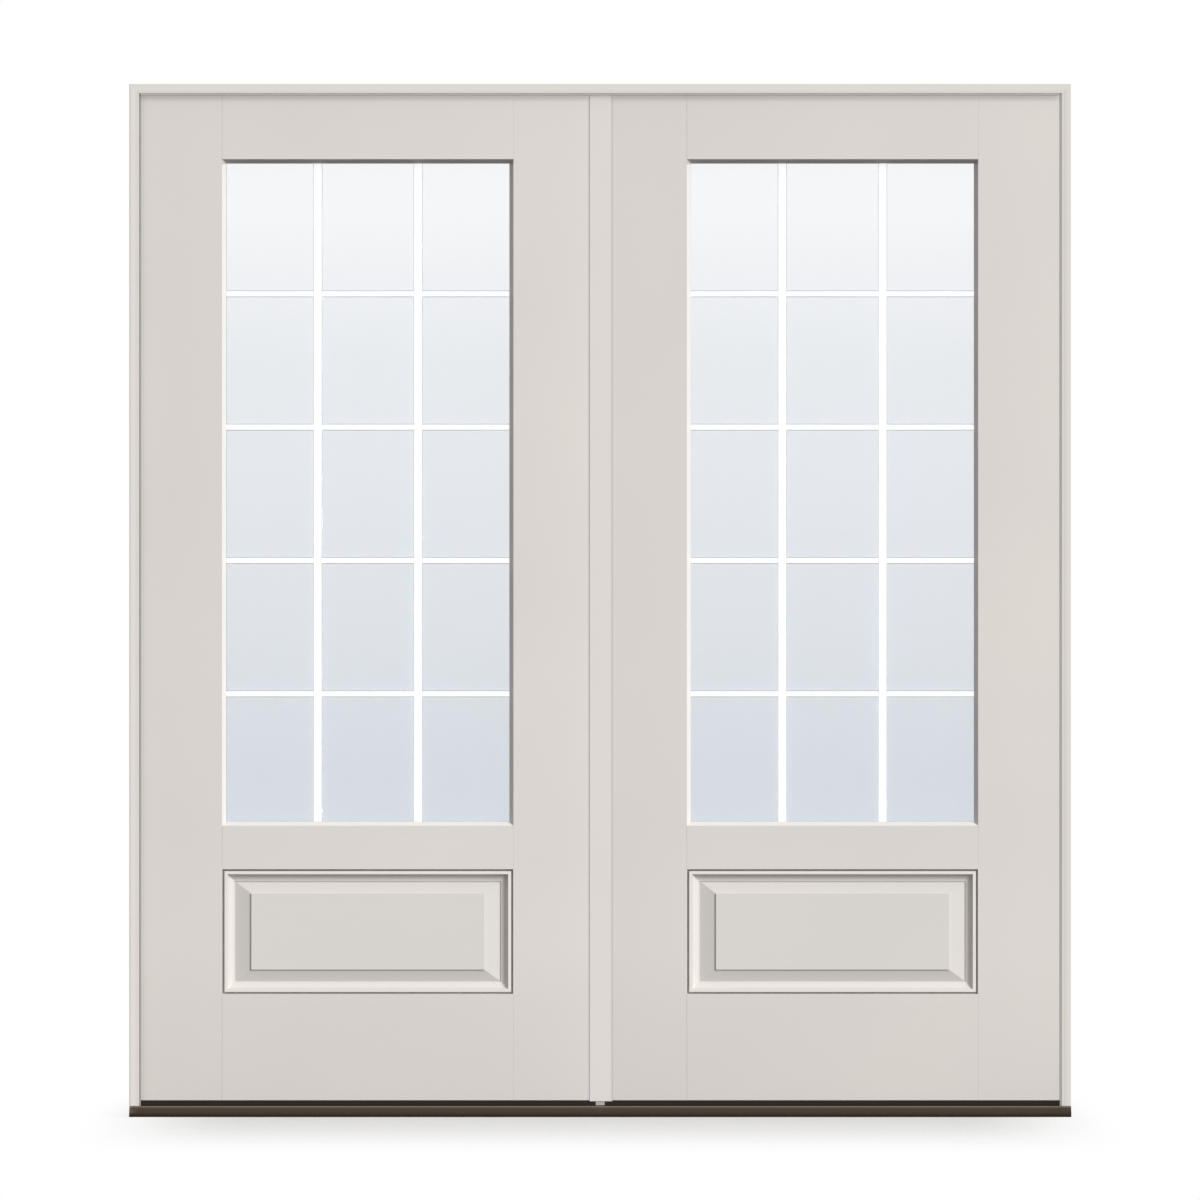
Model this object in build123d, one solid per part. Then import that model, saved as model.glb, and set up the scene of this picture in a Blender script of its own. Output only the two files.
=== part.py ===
from build123d import *
import os

# French doors in their frame, in millimetres, +Z up. The outside looks towards -Y and both leaves swing
# inwards, towards +Y. The origin is on the underside of the sill, below the middle of the doorway.

# Frame: rabbeted jambs and head, with a lip that covers the leaf's edge from outside
frame_width = 1880.0
frame_height = 2062.0
lip_width = 19.0
lip_depth = 12.0
rabbet_base = 12.5
lip_round = 1.2
frame_arris = 1.2
fixing_radius = 2.75

# Sill: hollow extrusion under the jambs, with a sloping nose on the outside
sill_height = 21.5
sill_nose_reach = 34.0
sill_nose_height = 8.0
sill_ledge = 3.0
sill_round = 1.6
sill_wall = 2.4

# Weatherstrip: a kerf-in seal behind the lip, with a nose that shows past the lip
seal_space = 3.5
seal_show = 3.5
seal_clearance = 0.3
kerf_width = 2.6
kerf_depth = 6.0
kerf_clearance = 0.1

# Leaf: stiles and rails, and the running gaps around the leaf
leaf_thickness = 44.5
hinge_gap = 3.0
head_gap = 3.0
sill_gap = 11.0
meeting_gap = 3.5
hinge_stile_width = 169.0
meeting_stile_width = 148.0
top_rail_height = 134.0
mid_rail_height = 85.4
panel_height = 251.3
bottom_rail_height = 211.1
joint_chamfer = 0.5
plough_depth = 10.0
plough_clearance = 0.2

# Raised panel and the moulding planted round it on both faces
tongue_thickness = 14.0
tongue_length = 8.0
panel_field_drop = 4.5
panel_step = 2.6
panel_side_bevel = 33.0
panel_end_bevel = 24.0
moulding_width = 25.6
moulding_land = 0.8
quirk_width = 4.4
quirk_depth = 9.0
fillet_width = 5.8
fillet_drop = 0.9
cove_foot = 2.0
cove_sag_share = 0.16

# Double glazing unit, its beads and the bars between its panes
bead_width = 8.4
bead_nosing = 0.4
bead_foot = 1.2
pane_thickness = 3.0
pane_cavity = 14.0
pane_edge_clearance = 3.0
spacer_width = 5.6
grille_columns = 3
grille_rows = 5
upright_bar_thickness = 8.0
cross_bar_thickness = 7.0
upright_bar_width = 18.5
cross_bar_width = 13.5
bar_chamfer = 1.4
grille_drop = 2.6
setting_block_length = 100.0
setting_block_place_share = 0.25

# Sweep under each leaf: a base strip with fins
sweep_base = 3.0
sweep_fin = 2.4
sweep_fins = 3
sweep_clearance = 1.0

# Butt hinges with fixed pins, three to a leaf
hinge_height = 101.6
hinge_plate = 2.5
hinge_reach = 32.0
hinge_top_inset = 180.0
hinge_bottom_inset = 250.0
knuckle_count = 3
knuckle_radius = 6.5
knuckle_gap = 0.3
knuckle_clearance = 1.0
knuckle_lap = 2.0
pin_radius = 4.0
pin_clearance = 0.05

# Astragal on the passive leaf's meeting edge, with its seal, boot and flush bolts
astragal_width = 42.6
astragal_proud = 1.2
astragal_wall = 3.0
astragal_groove = 0.6
astragal_arris = 0.5
astragal_drop = 2.0
channel_wall = 2.2
bulb_proud = 1.2
bulb_width = 6.0
bulb_root_width = 3.0
bulb_root_depth = 1.8
bulb_inset = 10.0
boot_width = 17.6
bolt_radius = 4.9
bolt_clearance = 0.3
bolt_length = 240.0
bolt_throw = 13.0
bolt_inset = 1.0
tab_width = 6.0
tab_height = 14.0
tab_inset = 0.6
tab_place = 170.0

# Strikes that take the bolts in the head and in the sill: a flange let in flush, and a boss behind it
strike_length = 44.0
strike_width = 22.0
strike_flange = 1.2
boss_length = 26.0
boss_width = 15.0
boss_depth = 4.0
strike_clearance = 0.4
head_bolt_room = 10.3

# How far a cut runs past the faces that it goes through
overrun = 5.0

# Places worked out from the sizes
half_width = frame_width / 2
frame_depth = lip_depth + seal_space + leaf_thickness
front = -frame_depth / 2
back = frame_depth / 2
leaf_front = back - leaf_thickness
leaf_middle = (leaf_front + back) / 2
leaf_bottom = sill_height + sill_gap
leaf_top = frame_height - rabbet_base - head_gap
astragal_bottom = leaf_bottom - astragal_drop
hinge_edge = -half_width + rabbet_base + hinge_gap
meeting_edge = -astragal_width / 2 - meeting_gap
glass_left = hinge_edge + hinge_stile_width
glass_right = meeting_edge - meeting_stile_width
panel_low = leaf_bottom + bottom_rail_height
panel_high = panel_low + panel_height
glass_low = panel_high + mid_rail_height
glass_high = leaf_top - top_rail_height
plough_width = tongue_thickness + 2 * plough_clearance
hinge_axis_x = hinge_edge - hinge_gap / 2
hinge_axis_y = back + knuckle_radius + knuckle_clearance
hinge_low = leaf_bottom + hinge_bottom_inset + hinge_height / 2
hinge_high = leaf_top - hinge_top_inset - hinge_height / 2
hinge_middle = (hinge_low + hinge_high) / 2
hinge_places = [hinge_high, hinge_middle, hinge_low]
fixing_heights = [(hinge_low + hinge_middle) / 2, (hinge_high + hinge_middle) / 2]
kerf_middle = (rabbet_base + lip_width) / 2
top_bolt_tip = leaf_top - bolt_inset
bottom_bolt_tip = sill_height + sweep_clearance + bolt_inset
above_bolt = Pos(0, leaf_middle, frame_height - rabbet_base) * Rot(180, 0, 0)
below_bolt = Pos(0, leaf_middle, sill_height)


# A block between two limits on each axis
def block(x_limits, y_limits, z_limits):
    limits = (x_limits, y_limits, z_limits)
    size = [high - low for low, high in limits]
    middle = [(high + low) / 2 for low, high in limits]
    return Pos(*middle) * Box(*size)


# A flat outline with straight sides
def outline(points):
    return make_face(Polyline(*points, close=True))


# A rectangle between two limits on each axis
def panel_of(x_limits, y_limits):
    (left, right), (low, high) = x_limits, y_limits
    return outline([(left, low), (right, low), (right, high), (left, high)])


# A section drawn in plan, as X and Y, and stood up between two heights
def stand_up(section, z_limits):
    low, high = z_limits
    return extrude(Pos(0, 0, low) * section, amount=high - low, dir=(0, 0, 1))


# A section drawn as Y and Z, and run between two places along X
def run_along_x(section, x_limits):
    left, right = x_limits
    return extrude(Pos(left, 0, 0) * (Plane.YZ * section), amount=right - left, dir=(1, 0, 0))


# Four mitred lengths of one section round an opening. The section's points are measured inwards from the
# opening's edge and down from the leaf's face: two points make a straight side, three make an arc.
def mitred_lengths(section, width, x_limits, z_limits, face_y, into):
    left, right = x_limits
    low, high = z_limits
    corners = [(left, low), (right, low), (right, high), (left, high)]
    inner = [(left + width, low + width), (right - width, low + width),
             (right - width, high - width), (left + width, high - width)]
    inwards = [(0, 1), (-1, 0), (0, -1), (1, 0)]
    lengths = []
    for side in range(len(corners)):
        after = (side + 1) % len(corners)
        start, end = Vector(*corners[side]), Vector(*corners[after])
        step = Vector(*inwards[side])

        def place(point):
            across, down = point
            at = start + step * across
            return (at.X, face_y + into * down, at.Y)

        edges = []
        for stretch in section:
            curve = Line if len(stretch) == 2 else ThreePointArc
            edges.append(curve(*[place(point) for point in stretch]))
        run = end - start
        length = extrude(make_face(edges), amount=run.length, dir=(run.X, 0, run.Y))
        mitre_points = [corners[side], corners[after], inner[after], inner[side]]
        mitre_face = outline([(x, face_y, z) for x, z in mitre_points])
        lengths += (length & extrude(mitre_face, amount=leaf_thickness, dir=(0, into, 0))).solids()
    return Compound(lengths)


# Jamb and head section, measured inwards from the frame's outer face and back from its front
def frame_section(place):
    kerf_near = kerf_middle + kerf_width / 2
    kerf_far = kerf_middle - kerf_width / 2
    kerf_floor = lip_depth - kerf_depth
    straight = [(lip_width, lip_round), (lip_width, lip_depth), (kerf_near, lip_depth),
                (kerf_near, kerf_floor), (kerf_far, kerf_floor), (kerf_far, lip_depth),
                (rabbet_base, lip_depth), (rabbet_base, frame_depth), (0, frame_depth), (0, frame_arris),
                (frame_arris, 0), (lip_width - lip_round, 0)]
    eased = lip_round * (1 - 2 ** -0.5)
    round_edge = [(lip_width - lip_round, 0), (lip_width - eased, eased), (lip_width, lip_round)]
    edges = [Polyline(*[place(*point) for point in straight])]
    edges.append(ThreePointArc(*[place(*point) for point in round_edge]))
    return make_face(edges)


# Weatherstrip section in the same measures: tongue in the kerf, flat body and a round nose
def weatherstrip_section(place):
    radius = (seal_space - seal_clearance) / 2
    tongue_near = kerf_middle + kerf_width / 2 - kerf_clearance
    tongue_far = kerf_middle - kerf_width / 2 + kerf_clearance
    tongue_floor = lip_depth - kerf_depth + kerf_clearance
    rear = lip_depth + 2 * radius
    root = rabbet_base + seal_clearance
    nose = lip_width + seal_show - radius
    straight = [(nose, rear), (root, rear), (root, lip_depth), (tongue_far, lip_depth),
                (tongue_far, tongue_floor), (tongue_near, tongue_floor), (tongue_near, lip_depth),
                (nose, lip_depth)]
    edges = [Polyline(*[place(*point) for point in straight])]
    round_nose = [(nose, lip_depth), (nose + radius, lip_depth + radius), (nose, rear)]
    edges.append(ThreePointArc(*[place(*point) for point in round_nose]))
    return make_face(edges)


# Measures of the frame section laid out in plan for the left jamb, and upright for the head
def beside_left_jamb(inward, rearward):
    return (-half_width + inward, front + rearward)


def below_head(inward, rearward):
    return (front + rearward, frame_height - inward)


# One hinge plate, let into the leaf's or the jamb's edge between two places along X
def hinge_plate_block(z, plate_limits):
    return block(plate_limits, (back - hinge_reach, back), (z - hinge_height / 2, z + hinge_height / 2))


# Place of one hinge's pin
def hinge_axis(z):
    return Pos(hinge_axis_x, hinge_axis_y, z)


# Plate of one hinge half with its knuckles, every second one of the barrel
def hinge_half(z, plate_limits, first_knuckle):
    half = hinge_plate_block(z, plate_limits)
    pitch = hinge_height / knuckle_count
    lap = back + knuckle_clearance + knuckle_lap
    for knuckle in range(first_knuckle, knuckle_count, 2):
        low = z - hinge_height / 2 + knuckle * pitch
        high = low + pitch
        if knuckle > 0:
            low += knuckle_gap / 2
        if knuckle < knuckle_count - 1:
            high -= knuckle_gap / 2
        half += hinge_axis((low + high) / 2) * Cylinder(knuckle_radius, high - low)
        half += block(plate_limits, (back, lap), (low, high))
    return half


# Hinge half on the jamb: its pin is fixed in the top and bottom knuckles
def jamb_hinge(z):
    face_x = -half_width + rabbet_base
    half = hinge_half(z, (face_x - hinge_plate, face_x), 0)
    return half + hinge_axis(z) * Cylinder(pin_radius, hinge_height)


# Hinge half on the leaf, bored to turn on the pin
def leaf_hinge(z):
    bore = Cylinder(pin_radius + pin_clearance, hinge_height)
    return hinge_half(z, (hinge_edge, hinge_edge + hinge_plate), 1) - hinge_axis(z) * bore


# All hinge halves of one kind, each a piece of its own
def hinge_set(make_half):
    return Compound([make_half(z).solid() for z in hinge_places])


# Screw hole through the jamb's rabbet
def fixing_hole(z):
    shank = Rot(0, 90, 0) * Cylinder(fixing_radius, rabbet_base + 2 * overrun)
    return Pos(-half_width + rabbet_base / 2, leaf_middle, z) * shank


# What lies on one side of the left corner's mitre line, through the depth of the lips
def beyond_mitre(above):
    reach = lip_width + overrun
    outer_end = (-half_width - overrun, frame_height + overrun)
    inner_end = (-half_width + reach, frame_height - reach)
    corner = (inner_end[0], outer_end[1]) if above else (outer_end[0], inner_end[1])
    face = outline([(x, front + lip_depth, z) for x, z in (outer_end, inner_end, corner)])
    return extrude(face, amount=lip_depth + overrun, dir=(0, -1, 0))


# Left jamb, its lip mitred to the head's, with its hinge mortises and fixing holes
def make_jamb():
    jamb = stand_up(frame_section(beside_left_jamb), (sill_height, frame_height)) - beyond_mitre(True)
    face_x = -half_width + rabbet_base
    for z in hinge_places:
        jamb -= hinge_plate_block(z, (face_x - hinge_plate, face_x))
    for z in fixing_heights:
        jamb -= fixing_hole(z)
    return jamb


# Head: its lip is mitred to the jambs' lips, and its base stands between the jambs
def make_head():
    head = run_along_x(frame_section(below_head), (-half_width, half_width))
    base_rows = (front + lip_depth, back + overrun)
    base_heights = (frame_height - rabbet_base - overrun, frame_height + overrun)
    past_jamb = block((-half_width - overrun, rabbet_base - half_width), base_rows, base_heights)
    corner = past_jamb + beyond_mitre(False)
    return head - corner - right_hand(corner) - above_bolt * strike_room(head_bolt_room)


# Sill extrusion: one outline, hollowed to an even wall, with a web below the frame's front
def make_sill():
    nose = front - sill_nose_reach
    points = [(nose, 0), (back, 0), (back, sill_height), (front - sill_ledge, sill_height),
              (nose, sill_nose_height)]
    body = make_face(FilletPolyline(*points, radius=sill_round, close=True))
    hollow = offset(outline(points), amount=-sill_wall)
    hollow -= panel_of((front, front + sill_wall), (0, sill_height))
    sill = run_along_x(body - hollow, (-half_width, half_width))
    return sill - below_bolt * strike_room(boss_depth)


# Room for a strike below a face that looks up, with a pocket for the bolt
def strike_room(depth):
    flange_across = (-strike_width / 2, strike_width / 2)
    boss_across = (-boss_width / 2, boss_width / 2)
    flange = block((-strike_length / 2, strike_length / 2), flange_across, (-strike_flange, 0))
    return flange + block((-boss_length / 2, boss_length / 2), boss_across, (-depth, 0))


# Strike whose flange is flush with a face that looks up, bored for the bolt
def make_strike():
    bore = Cylinder(bolt_radius + strike_clearance, 2 * boss_depth)
    return strike_room(boss_depth) - bore


# Stile: a plank with one ploughed edge, given by the plank's outer and ploughed edges
def make_stile(outer, ploughed):
    floor = ploughed + (plough_depth if outer > ploughed else -plough_depth)
    groove_front = leaf_middle - plough_width / 2
    groove_back = leaf_middle + plough_width / 2
    points = [(outer, leaf_front), (ploughed, leaf_front), (ploughed, groove_front), (floor, groove_front),
              (floor, groove_back), (ploughed, groove_back), (ploughed, back), (outer, back)]
    return stand_up(outline(points), (leaf_bottom, leaf_top))


# Rail between the stiles: stub tenons in their ploughed edges, and a fine bevel along each shoulder
def make_rail(z_limits):
    tenon = plough_depth - plough_clearance
    tenon_front = leaf_middle - tongue_thickness / 2
    tenon_back = leaf_middle + tongue_thickness / 2
    left, right, bevel = glass_left, glass_right, joint_chamfer
    points = [(left + bevel, leaf_front), (right - bevel, leaf_front), (right, leaf_front + bevel),
              (right, tenon_front), (right + tenon, tenon_front), (right + tenon, tenon_back),
              (right, tenon_back), (right, back - bevel), (right - bevel, back), (left + bevel, back),
              (left, back - bevel), (left, tenon_back), (left - tenon, tenon_back),
              (left - tenon, tenon_front), (left, tenon_front), (left, leaf_front + bevel)]
    return stand_up(outline(points), z_limits)


# Groove along a rail's edge that takes the panel's tongue
def rail_plough(z_limits):
    rows = (leaf_middle - plough_width / 2, leaf_middle + plough_width / 2)
    reach = plough_depth + overrun
    return block((glass_left - reach, glass_right + reach), rows, z_limits)


# Section of the raised panel across its width or its height: tongue, bevel, small step and flat field
def panel_section(limits, bevel, place):
    low, high = limits
    tongue = tongue_thickness / 2
    field = leaf_thickness / 2 - panel_field_drop
    shoulder = field - panel_step
    half = [(-tongue_length, tongue), (moulding_width, tongue), (moulding_width + bevel, shoulder),
            (moulding_width + bevel, field)]
    rising = [(low + along, out) for along, out in half]
    falling = [(high - along, out) for along, out in reversed(half)]
    near = rising + falling
    far = [(along, -out) for along, out in reversed(near)]
    return outline([place(along, leaf_middle + out) for along, out in near + far])


# Raised panel: its section across and its section upright meet in mitred bevels
def make_raised_panel():
    across = panel_section((glass_left, glass_right), panel_side_bevel, lambda along, y: (along, y))
    upright = panel_section((panel_low, panel_high), panel_end_bevel, lambda along, y: (y, along))
    tall = stand_up(across, (panel_low - tongue_length, panel_high + tongue_length))
    wide = run_along_x(upright, (glass_left - tongue_length, glass_right + tongue_length))
    return tall & wide


# Planted panel moulding: narrow land, quirk, flat fillet, then a cove that runs out on the panel
def make_panel_moulding(face_y, into):
    depth = (leaf_thickness - tongue_thickness) / 2
    fillet_start = moulding_land + quirk_width
    fillet_end = fillet_start + fillet_width
    cove_low = depth - cove_foot
    run, fall = moulding_width - fillet_end, cove_low - fillet_drop
    sag_across, sag_down = fall * cove_sag_share, run * cove_sag_share
    cove_middle = (fillet_end + run / 2 - sag_across, fillet_drop + fall / 2 + sag_down)
    section = [[(0, depth), (0, 0)],
               [(0, 0), (moulding_land, 0)],
               [(moulding_land, 0), (moulding_land, quirk_depth)],
               [(moulding_land, quirk_depth), (fillet_start - fillet_drop, quirk_depth)],
               [(fillet_start - fillet_drop, quirk_depth), (fillet_start, fillet_drop)],
               [(fillet_start, fillet_drop), (fillet_end, fillet_drop)],
               [(fillet_end, fillet_drop), cove_middle, (moulding_width, cove_low)],
               [(moulding_width, cove_low), (moulding_width, depth)],
               [(moulding_width, depth), (0, depth)]]
    opening = ((glass_left, glass_right), (panel_low, panel_high))
    return mitred_lengths(section, moulding_width, *opening, face_y, into)


# Depth of the glazing beads, from the leaf's face down to the pane
def bead_depth():
    return (leaf_thickness - pane_cavity) / 2 - pane_thickness


# Glazing bead: a short nosing level with the leaf, then a bevel down to the glass
def make_glazing_bead(face_y, into):
    depth = bead_depth()
    corners = [(0, 0), (bead_nosing, 0), (bead_width, depth - bead_foot), (bead_width, depth), (0, depth)]
    section = [[corners[i - 1], corners[i]] for i in range(len(corners))]
    opening = ((glass_left, glass_right), (glass_low, glass_high))
    return mitred_lengths(section, bead_width, *opening, face_y, into)


# White bars between the panes: bevelled bars whose ends meet the spacer. The uprights stand a little
# proud of the cross bars that are let into them, and the cross bars hang a little low.
def make_grille():
    edge = pane_edge_clearance + spacer_width
    column_pitch = (glass_right - glass_left + upright_bar_width) / grille_columns
    row_pitch = (glass_high - glass_low) / grille_rows
    middle_x = (glass_left + glass_right) / 2
    middle_z = (glass_low + glass_high) / 2 - grille_drop
    grille = Part()
    for column in range(1, grille_columns):
        x = middle_x + (column - grille_columns / 2) * column_pitch
        bar = Pos(x, leaf_middle) * bar_section(upright_bar_width, upright_bar_thickness)
        grille += stand_up(bar, (glass_low + edge, glass_high - edge))
    for row in range(1, grille_rows):
        z = middle_z + (row - grille_rows / 2) * row_pitch
        bar = Pos(leaf_middle, z) * bar_section(cross_bar_thickness, cross_bar_width)
        grille += run_along_x(bar, (glass_left + edge, glass_right - edge))
    return grille


# Section of one bar, bevelled on its four edges
def bar_section(width, depth):
    section = Rectangle(width, depth)
    return chamfer(section.vertices(), bar_chamfer)


# Sweep section in Y and Z: a base strip at the top and fins that reach down to the sill
def sweep_section(top):
    fin_low = sill_height + sweep_clearance
    section = panel_of((leaf_front, back), (top - sweep_base, top))
    pitch = (leaf_thickness - sweep_fin) / (sweep_fins - 1)
    for fin in range(sweep_fins):
        fin_front = leaf_front + fin * pitch
        section += panel_of((fin_front, fin_front + sweep_fin), (fin_low, top))
    return section


# Pieces of the left leaf. The right leaf is its mirror image.
def make_leaf():
    leaf = {}
    hinge_stile = make_stile(hinge_edge, glass_left)
    for z in hinge_places:
        hinge_stile -= hinge_plate_block(z, (hinge_edge, hinge_edge + hinge_plate))
    leaf["hinge_stile"] = hinge_stile
    leaf["meeting_stile"] = make_stile(meeting_edge, glass_right)
    leaf["top_rail"] = make_rail((glass_high, leaf_top))
    above_panel = (panel_high - overrun, panel_high + plough_depth)
    below_panel = (panel_low - plough_depth, panel_low + overrun)
    leaf["mid_rail"] = make_rail((panel_high, glass_low)) - rail_plough(above_panel)
    leaf["bottom_rail"] = make_rail((leaf_bottom, panel_low)) - rail_plough(below_panel)
    leaf["raised_panel"] = make_raised_panel()
    leaf["outer_panel_moulding"] = make_panel_moulding(leaf_front, 1)
    leaf["inner_panel_moulding"] = make_panel_moulding(back, -1)
    leaf["outer_glazing_bead"] = make_glazing_bead(leaf_front, 1)
    leaf["inner_glazing_bead"] = make_glazing_bead(back, -1)

    pane_x = (glass_left + pane_edge_clearance, glass_right - pane_edge_clearance)
    pane_z = (glass_low + pane_edge_clearance, glass_high - pane_edge_clearance)
    outer_glass = leaf_front + bead_depth()
    inner_glass = back - bead_depth()
    cavity = (outer_glass + pane_thickness, inner_glass - pane_thickness)
    leaf["outer_pane"] = block(pane_x, (outer_glass, cavity[0]), pane_z)
    leaf["inner_pane"] = block(pane_x, (cavity[1], inner_glass), pane_z)
    sight_x = (pane_x[0] + spacer_width, pane_x[1] - spacer_width)
    sight_z = (pane_z[0] + spacer_width, pane_z[1] - spacer_width)
    through = (cavity[0] - overrun, cavity[1] + overrun)
    leaf["glass_spacer"] = block(pane_x, cavity, pane_z) - block(sight_x, through, sight_z)
    leaf["glass_grille"] = make_grille()

    blocks = []
    for share in (setting_block_place_share, 1 - setting_block_place_share):
        middle = glass_left + share * (glass_right - glass_left)
        rows = (middle - setting_block_length / 2, middle + setting_block_length / 2)
        blocks.append(block(rows, (outer_glass, inner_glass), (glass_low, pane_z[0])).solid())
    leaf["setting_blocks"] = Compound(blocks)
    leaf["bottom_sweep"] = run_along_x(sweep_section(leaf_bottom), (hinge_edge, meeting_edge))
    leaf["leaf_hinges"] = hinge_set(leaf_hinge)
    return leaf


# Astragal extrusion on the passive leaf's edge: face flange, side chambers and a channel for the bolts
def make_astragal():
    half = astragal_width / 2
    seat = half + meeting_gap
    face = leaf_front - astragal_proud
    arris = astragal_arris
    points = [(-half, face + arris), (-half + arris, face), (half - arris, face), (half, face + arris),
              (half, leaf_front + astragal_groove), (seat, leaf_front + astragal_groove),
              (seat, back - astragal_groove), (half, back - astragal_groove), (half, back), (-half, back)]
    section = outline(points)
    channel = bolt_radius + bolt_clearance
    chamber = channel + channel_wall
    inner_front = face + astragal_wall
    inner_back = back - astragal_wall
    section -= panel_of((-half + astragal_wall, -chamber), (inner_front, inner_back))
    section -= panel_of((chamber, half - astragal_wall), (inner_front, inner_back))
    section -= panel_of((-channel, channel), (inner_front, leaf_middle - chamber))
    section -= panel_of((-channel, channel), (leaf_middle - channel, leaf_middle + channel))
    section -= panel_of((-channel, channel), (leaf_middle + chamber, inner_back))
    root_middle = back - bulb_inset
    root_rows = (root_middle - bulb_root_width / 2, root_middle + bulb_root_width / 2)
    section -= panel_of((-half - overrun, -half + bulb_root_depth), root_rows)
    astragal = stand_up(section, (astragal_bottom, leaf_top))
    flange_top = frame_height - lip_width - seal_show - seal_clearance
    above_flange = (flange_top, leaf_top + overrun)
    astragal -= block((-half - overrun, half + overrun), (face - overrun, leaf_front), above_flange)
    room = bolt_clearance
    slot_rows = (leaf_middle - tab_width / 2 - room, leaf_middle + tab_width / 2 + room)
    for tip, up in ((top_bolt_tip, 1), (bottom_bolt_tip, -1)):
        tab_end = tip - up * tab_place
        ends = (tab_end - up * (tab_height + room), tab_end + up * (bolt_throw + room))
        astragal -= block((-half - overrun, -channel), slot_rows, (min(ends), max(ends)))
    return astragal


# Bulb seal on the astragal's active side, its root in a groove
def make_astragal_seal():
    wall = -astragal_width / 2
    middle = back - bulb_inset
    root = bulb_root_width / 2
    low, high = middle - bulb_width / 2, middle + bulb_width / 2
    straight = Polyline((wall, low), (wall, middle - root), (wall + bulb_root_depth, middle - root),
                        (wall + bulb_root_depth, middle + root), (wall, middle + root), (wall, high))
    bulb = ThreePointArc((wall, low), (wall - bulb_proud, middle), (wall, high))
    return stand_up(make_face([straight, bulb]), (astragal_bottom, leaf_top))


# Flush bolt: a rod with a thumb tab towards the active leaf
def make_bolt(tip, up):
    rod = Pos(0, leaf_middle, tip - up * bolt_length / 2) * Cylinder(bolt_radius, bolt_length)
    tab_end = tip - up * tab_place
    heights = (min(tab_end, tab_end - up * tab_height), max(tab_end, tab_end - up * tab_height))
    rows = (leaf_middle - tab_width / 2, leaf_middle + tab_width / 2)
    return rod + block((tab_inset - astragal_width / 2, 0), rows, heights)


# Grey boot below the astragal, cut through for the bottom bolt
def make_boot():
    heights = (sill_height + sweep_clearance, astragal_bottom)
    boot = block((-boot_width / 2, boot_width / 2), (leaf_front, back), heights)
    room = bolt_radius + bolt_clearance
    hole_heights = (heights[0] - overrun, heights[1] + overrun)
    return boot - block((-room, room), (leaf_middle - room, leaf_middle + room), hole_heights)


# Mirror image for the right-hand side
def right_hand(shape):
    return mirror(shape, about=Plane.YZ)


parts = {}

# Frame
parts["left_jamb"] = make_jamb()
parts["right_jamb"] = right_hand(parts["left_jamb"])
parts["head_jamb"] = make_head()
parts["sill"] = make_sill()
strip_top = frame_height - kerf_middle + kerf_width / 2 - kerf_clearance
strip_end = half_width - lip_width - seal_show
parts["left_weatherstrip"] = stand_up(weatherstrip_section(beside_left_jamb), (sill_height, strip_top))
parts["right_weatherstrip"] = right_hand(parts["left_weatherstrip"])
parts["head_weatherstrip"] = run_along_x(weatherstrip_section(below_head), (-strip_end, strip_end))
parts["top_strike"] = above_bolt * make_strike()
parts["bottom_strike"] = below_bolt * make_strike()
parts["left_jamb_hinges"] = hinge_set(jamb_hinge)
parts["right_jamb_hinges"] = right_hand(parts["left_jamb_hinges"])

# Leaves
for name, piece in make_leaf().items():
    parts["left_" + name] = piece
    parts["right_" + name] = right_hand(piece)

# Meeting edge
parts["astragal"] = make_astragal()
parts["astragal_seal"] = make_astragal_seal()
parts["astragal_boot"] = make_boot()
beside_boot = [(-astragal_width / 2, -boot_width / 2), (boot_width / 2, -meeting_edge)]
sweep_lengths = [run_along_x(sweep_section(astragal_bottom), limits) for limits in beside_boot]
parts["astragal_sweep"] = Compound([length.solid() for length in sweep_lengths])
parts["top_bolt"] = make_bolt(top_bolt_tip, 1)
parts["bottom_bolt"] = make_bolt(bottom_bolt_tip, -1)

os.makedirs("parts", exist_ok=True)
for name, piece in parts.items():
    export_step(piece, "parts/" + name + ".step")
print(len(parts), "pieces")
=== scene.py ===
import bmesh
import bpy
import math
from mathutils import Matrix, Vector


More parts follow.
